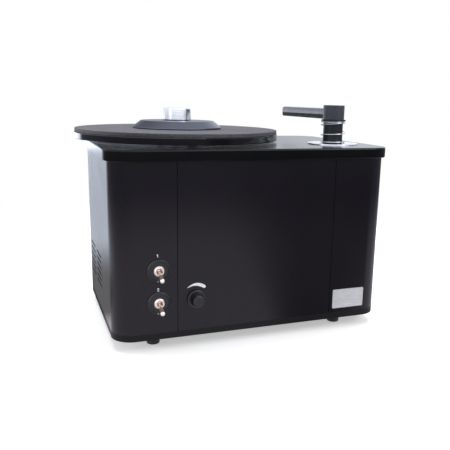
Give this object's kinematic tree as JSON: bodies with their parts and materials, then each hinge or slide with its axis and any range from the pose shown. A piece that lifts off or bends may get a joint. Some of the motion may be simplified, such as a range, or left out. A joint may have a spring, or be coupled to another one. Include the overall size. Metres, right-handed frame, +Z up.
{
  "type": "record cleaning machine",
  "caption": "Vacuum record cleaning machine: box cabinet, turntable with mat and lift-off clamp, sprung suction arm, toggle switches and a speed knob.",
  "frame": {"origin": "on the floor, under the middle of the whole object's box", "axes": "+X to the right seen from the front, +Y to the back, +Z up; the controls face -Y"},
  "size_m": [0.4248, 0.3384, 0.3218],
  "materials": {
    "cabinet_paint": "satin, fine texture",
    "tray_paint": "satin",
    "plate_gloss": "polished black",
    "foot_rubber": "matte",
    "badge_metal": "brushed",
    "platter_gloss": "polished black",
    "mat_rubber": "fine grain",
    "clamp_plastic": "satin grey",
    "knob_metal": "turned and polished",
    "seal_rubber": "matte",
    "arm_plastic": "satin dark grey",
    "velvet": "short pile",
    "bright_steel": "bright",
    "spring_steel": "bright drawn wire",
    "nickel": "bright nickel",
    "control_plastic": "satin black",
    "bronze": "sintered",
    "zinc_steel": "zinc plated",
    "motor_metal": "zinc grey",
    "tank_plastic": "natural polyethylene",
    "hose_rubber": "smooth",
    "duct_plastic": "moulded",
    "board_green": "solder mask",
    "white_print": "screen print",
    "valve_brass": "machined"
  },
  "bodies": {
    "cabinet": {"base_tray": "tray_paint", "left_shell": "cabinet_paint", "right_shell": "cabinet_paint", "front_panel": "cabinet_paint", "rear_panel": "cabinet_paint", "rear_screws": "zinc_steel", "seam_strips": "zinc_steel", "top_plate": "plate_gloss", "feet": "foot_rubber", "foot_screws": "zinc_steel", "badge_plate": "badge_metal", "bearing_housing": "motor_metal", "spindle_bushes": "bronze", "bearing_screws": "zinc_steel", "gearmotor": "motor_metal", "motor_plate": "zinc_steel", "motor_standoffs": "zinc_steel", "arm_base_disc": "bright_steel", "arm_base_screws": "zinc_steel", "arm_guide": "arm_plastic", "arm_bushes": "bronze", "arm_spring": "spring_steel", "switch_bezels": "control_plastic", "toggle_switches": "nickel", "switch_nuts": "nickel", "speed_control": "motor_metal", "waste_tank": "tank_plastic", "tank_lid": "tank_plastic", "tank_hose": "hose_rubber", "vacuum_hose": "hose_rubber", "fan_housing": "motor_metal", "suction_motor": "motor_metal", "motor_mounts": "foot_rubber", "exhaust_duct": "duct_plastic", "drain_valve": "valve_brass", "control_board": "board_green", "power_supply": "motor_metal", "mains_inlet": "control_plastic"},
    "platter": {"platter": "platter_gloss", "platter_mat": "mat_rubber", "platter_hub": "bright_steel", "spindle": "bright_steel", "shaft_coupler": "bright_steel", "gearmotor_shaft": "bright_steel"},
    "clamp": {"clamp_disc": "clamp_plastic", "clamp_seal": "seal_rubber"},
    "clamp_knob": {"clamp_knob": "knob_metal"},
    "arm_lift": {"spring_seat": "arm_plastic"},
    "arm": {"arm_pipe": "arm_plastic", "arm_clip": "spring_steel", "arm_head": "arm_plastic", "arm_tube": "arm_plastic", "arm_end_cap": "arm_plastic", "velvet_strips": "velvet"},
    "toggle_lower": {"toggle_lever_lower": "nickel"},
    "toggle_upper": {"toggle_lever_upper": "nickel"},
    "speed_knob": {"speed_knob": "control_plastic", "speed_shaft": "bright_steel"},
    "suction_rotor": {"suction_rotor": "bright_steel"},
    "drain_lever": {"drain_lever": "zinc_steel"}
  },
  "joints": [
    {"name": "platter_spin", "type": "hinge", "parent": "cabinet", "child": "platter", "pos_m": [-0.06145, 0.01825, 0.2829], "axis": [0, 0, 1], "continuous": true},
    {"name": "clamp_lift", "type": "slide", "parent": "platter", "child": "clamp", "axis": [0, 0, 1], "range_m": [0, 0.06]},
    {"name": "clamp_knob_turn", "type": "hinge", "parent": "clamp", "child": "clamp_knob", "pos_m": [-0.06145, 0.01825, 0.2947], "axis": [0, 0, 1], "range_deg": [0, 270]},
    {"name": "arm_press", "type": "slide", "parent": "cabinet", "child": "arm_lift", "axis": [0, 0, -1], "range_m": [0, 0.016], "stiffness_N_per_m": 200, "springref_m": -0.02, "deforming": ["arm_spring"]},
    {"name": "arm_swing", "type": "hinge", "parent": "arm_lift", "child": "arm", "pos_m": [0.15385, -0.07375, 0.3009], "axis": [0, 0, 1], "range_deg": [0, 65.86]},
    {"name": "toggle_lower_flip", "type": "hinge", "parent": "cabinet", "child": "toggle_lower", "pos_m": [-0.12815, -0.14575, 0.0665], "axis": [-1, 0, 0], "range_deg": [0, 40]},
    {"name": "toggle_upper_flip", "type": "hinge", "parent": "cabinet", "child": "toggle_upper", "pos_m": [-0.12815, -0.14575, 0.11], "axis": [-1, 0, 0], "range_deg": [0, 40]},
    {"name": "speed_turn", "type": "hinge", "parent": "cabinet", "child": "speed_knob", "pos_m": [-0.07815, -0.14575, 0.0675], "axis": [0, 1, 0], "range_deg": [0, 270]},
    {"name": "suction_spin", "type": "hinge", "parent": "cabinet", "child": "suction_rotor", "pos_m": [0.03635, 0.01925, 0.06], "axis": [0, 0, 1], "continuous": true},
    {"name": "drain_turn", "type": "hinge", "parent": "cabinet", "child": "drain_lever", "pos_m": [0.15385, 0.12925, 0.047], "axis": [0, 0, 1], "range_deg": [0, 90]}
  ]
}
